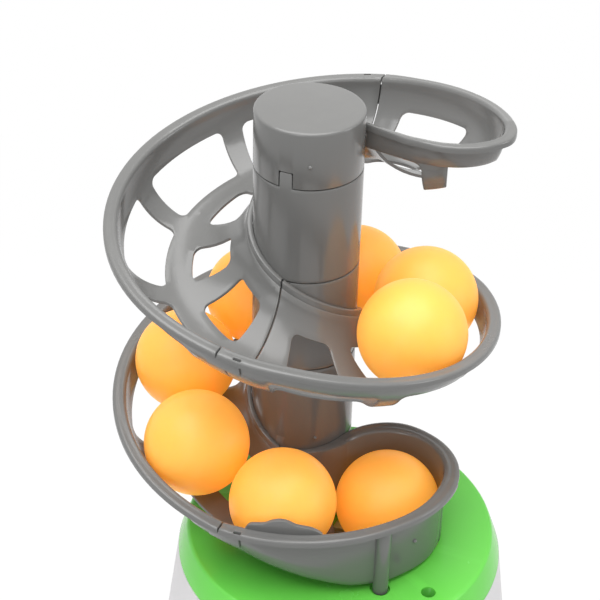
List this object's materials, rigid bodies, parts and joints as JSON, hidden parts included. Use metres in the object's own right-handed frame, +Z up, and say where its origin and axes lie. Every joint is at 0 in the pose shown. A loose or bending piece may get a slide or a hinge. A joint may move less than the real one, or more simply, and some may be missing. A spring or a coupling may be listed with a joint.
{
  "type": "table tennis robot",
  "caption": "Table tennis robot: a spiral ball track on a hollow column feeds a rotor, a chute and a throwing wheel inside a tapered round housing.",
  "frame": {"origin": "on the table, under the middle of the overall box, which is also the axis of the round housing", "axes": "+Z up along the housing and the track's column, -Y to the front, the way the balls are thrown, +X to the right of someone who stands behind the robot and looks along the throw"},
  "size_m": [0.184, 0.2069, 0.3879],
  "materials": {
    "grey_plastic": "satin",
    "green_plastic": "gloss",
    "white_plastic": "gloss",
    "ball_plastic": "matte",
    "black_plastic": "matte",
    "rubber": "matte",
    "steel": "satin",
    "brass": "satin",
    "board_green": "satin",
    "cell_jacket": "satin"
  },
  "bodies": {
    "frame": {"main_housing": "white_plastic", "top_cap": "green_plastic", "track_bowl": "grey_plastic", "track_segment_3": "grey_plastic", "track_segment_2": "grey_plastic", "track_segment_1": "grey_plastic", "top_scoop": "grey_plastic", "base_tray": "black_plastic", "inner_frame": "black_plastic", "rubber_foot_1": "rubber", "rubber_foot_2": "rubber", "rubber_foot_3": "rubber", "rubber_foot_4": "rubber", "outlet_nozzle": "green_plastic", "feeder_floor": "black_plastic", "drop_chute": "black_plastic", "rotor_shaft": "steel", "feed_gearbox": "black_plastic", "feed_motor": "steel", "channel_lower": "black_plastic", "channel_upper": "black_plastic", "throw_motor": "steel", "control_panel": "black_plastic", "circuit_board": "board_green", "speed_control": "steel", "switch_body": "black_plastic", "battery_cell_1": "cell_jacket", "battery_cell_2": "cell_jacket", "battery_cell_3": "cell_jacket", "battery_cell_4": "cell_jacket", "battery_contact_1": "brass", "battery_contact_2": "brass", "battery_contact_3": "brass", "battery_contact_4": "brass", "battery_contact_5": "brass", "cap_screw": "steel", "column_screw_1": "steel", "column_screw_2": "steel", "base_screw_1": "steel", "base_screw_2": "steel", "base_screw_3": "steel", "base_screw_4": "steel"},
    "rotor": {"feed_rotor": "white_plastic", "feed_ring_gear": "white_plastic"},
    "pinion": {"feed_pinion": "brass"},
    "wheel": {"throw_wheel_hub": "white_plastic", "throw_wheel_tyre": "rubber", "motor_shaft": "steel"},
    "knob": {"speed_knob": "green_plastic"},
    "slider": {"power_slider": "green_plastic"},
    "door": {"battery_door": "black_plastic"},
    "waiting_ball_1": {"ball_1": "ball_plastic"},
    "waiting_ball_2": {"ball_2": "ball_plastic"},
    "waiting_ball_3": {"ball_3": "ball_plastic"},
    "waiting_ball_4": {"ball_4": "ball_plastic"},
    "waiting_ball_5": {"ball_5": "ball_plastic"},
    "waiting_ball_6": {"ball_6": "ball_plastic"},
    "waiting_ball_7": {"ball_7": "ball_plastic"},
    "waiting_ball_8": {"ball_8": "ball_plastic"}
  },
  "joints": [
    {"name": "feed_rotor_turn", "type": "hinge", "parent": "frame", "child": "rotor", "pos_m": [0, 0.009, 0.193], "axis": [0, 0, 1], "continuous": true},
    {"name": "feed_pinion_turn", "type": "hinge", "parent": "frame", "child": "pinion", "pos_m": [-0.01585, -0.05016, 0.175], "axis": [0, 0, 1], "continuous": true},
    {"name": "throw_wheel_spin", "type": "hinge", "parent": "frame", "child": "wheel", "pos_m": [0, -0.014, 0.138], "axis": [1, 0, 0], "continuous": true},
    {"name": "speed_knob_turn", "type": "hinge", "parent": "frame", "child": "knob", "pos_m": [0.015, -0.094, 0.045], "axis": [0, 1, 0], "range_deg": [0, 270]},
    {"name": "power_slide", "type": "slide", "parent": "frame", "child": "slider", "axis": [1, 0, 0], "range_m": [0, 0.005]},
    {"name": "battery_door_slide", "type": "slide", "parent": "frame", "child": "door", "axis": [0, 1, 0], "range_m": [0, 0.012]},
    {"name": "ball_7_roll", "type": "hinge", "parent": "frame", "child": "waiting_ball_7", "pos_m": [0.0029, 0.03142, 0.25354], "axis": [0.1132, -0.2315, 0.9662], "range_deg": [-46.87, 0]},
    {"name": "ball_1_roll", "type": "hinge", "parent": "frame", "child": "waiting_ball_1", "pos_m": [0.00011, 0.03323, 0.31748], "axis": [0.2578, -0.0088, 0.9662], "range_deg": [-47.81, 0]},
    {"name": "ball_2_roll", "type": "hinge", "parent": "frame", "child": "waiting_ball_2", "pos_m": [-0.00236, 0.0322, 0.30698], "axis": [0.1758, 0.1884, 0.9662], "range_deg": [-46.87, 0]},
    {"name": "ball_3_roll", "type": "hinge", "parent": "frame", "child": "waiting_ball_3", "pos_m": [-0.00321, 0.02962, 0.29632], "axis": [-0.03, 0.2567, 0.966], "range_deg": [-49.21, 0]},
    {"name": "ball_4_roll", "type": "hinge", "parent": "frame", "child": "waiting_ball_4", "pos_m": [-0.00174, 0.02728, 0.28543], "axis": [-0.2177, 0.1391, 0.9661], "range_deg": [-48.98, 0]},
    {"name": "ball_5_roll", "type": "hinge", "parent": "frame", "child": "waiting_ball_5", "pos_m": [0.001, 0.02693, 0.27457], "axis": [-0.2456, -0.0801, 0.9661], "range_deg": [-48.98, 0]},
    {"name": "ball_6_roll", "type": "hinge", "parent": "frame", "child": "waiting_ball_6", "pos_m": [0.00299, 0.02877, 0.26393], "axis": [-0.0981, -0.2383, 0.9662], "range_deg": [-46.87, 0]},
    {"name": "ball_8_roll", "type": "hinge", "parent": "frame", "child": "waiting_ball_8", "pos_m": [-0.01262, 0.02382, 0.21438], "axis": [0.3284, 0.6124, 0.7191], "range_deg": [-56.22, 0]}
  ],
  "couplings": [
    {"joint": "feed_pinion_turn", "follows": "feed_rotor_turn", "ratio": -6},
    {"joint": "ball_1_roll", "follows": "ball_7_roll", "ratio": 1.0199},
    {"joint": "ball_2_roll", "follows": "ball_7_roll", "ratio": 0.99997},
    {"joint": "ball_3_roll", "follows": "ball_7_roll", "ratio": 1.0499},
    {"joint": "ball_4_roll", "follows": "ball_7_roll", "ratio": 1.0449},
    {"joint": "ball_5_roll", "follows": "ball_7_roll", "ratio": 1.0449},
    {"joint": "ball_6_roll", "follows": "ball_7_roll", "ratio": 0.99997},
    {"joint": "ball_8_roll", "follows": "ball_7_roll", "ratio": 1.1993}
  ]
}
